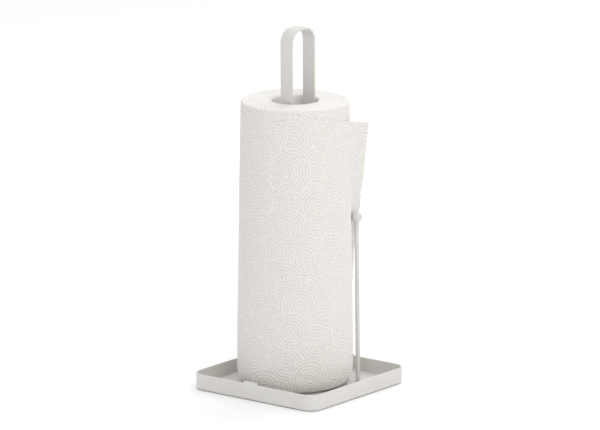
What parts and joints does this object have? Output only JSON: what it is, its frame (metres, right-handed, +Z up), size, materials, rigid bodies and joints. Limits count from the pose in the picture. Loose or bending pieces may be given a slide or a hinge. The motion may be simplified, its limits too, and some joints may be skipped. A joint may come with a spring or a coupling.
{
  "type": "paper towel holder",
  "caption": "Free-standing holder for a roll of kitchen paper: square steel tray, flat-band loop post and handle, spring wire arm with a ball tip, shown with a roll.",
  "frame": {"origin": "on the ground plane, under the centre of the square tray", "axes": "+Z up; the tray's sides run along X and Y; the loop's two legs stand apart along Y; the spring arm stands at the +X +Y corner; the usual front view looks from +X -Y"},
  "size_m": [0.14, 0.14, 0.3306],
  "materials": {
    "grey_powder_coat": "matt, fine texture, warm light grey",
    "zinc_plated_steel": "bright zinc",
    "pad_rubber": "matt",
    "kitchen_paper": "soft, embossed with dotted rings",
    "core_cardboard": "matt grey board"
  },
  "bodies": {
    "base": {"base_tray": "grey_powder_coat", "loop_post": "grey_powder_coat", "loop_screw_front": "zinc_plated_steel", "loop_screw_back": "zinc_plated_steel", "loop_nut_front": "zinc_plated_steel", "loop_nut_back": "zinc_plated_steel", "arm_screw": "zinc_plated_steel", "foot_front_left": "pad_rubber", "foot_front_right": "pad_rubber", "foot_back_left": "pad_rubber", "foot_back_right": "pad_rubber"},
    "arm": {"arm_wire": "grey_powder_coat", "arm_ball": "grey_powder_coat"},
    "core": {"roll_core": "core_cardboard"},
    "paper": {"paper_roll": "kitchen_paper", "loose_sheet": "kitchen_paper"}
  },
  "joints": [
    {"name": "arm_flex", "type": "hinge", "parent": "base", "child": "arm", "pos_m": [0.038, 0.038, 0.0027], "axis": [-0.6622, 0.7493, 0], "range_deg": [0, 3.8], "stiffness_Nm_per_rad": 50, "springref_deg": -0.29},
    {"name": "roll_lift", "type": "slide", "parent": "base", "child": "core", "axis": [0, 0, 1], "range_m": [0, 0.335]},
    {"name": "roll_spin", "type": "hinge", "parent": "core", "child": "paper", "pos_m": [-0.005, 0, 0.0027], "axis": [0, 0, 1], "continuous": true}
  ]
}
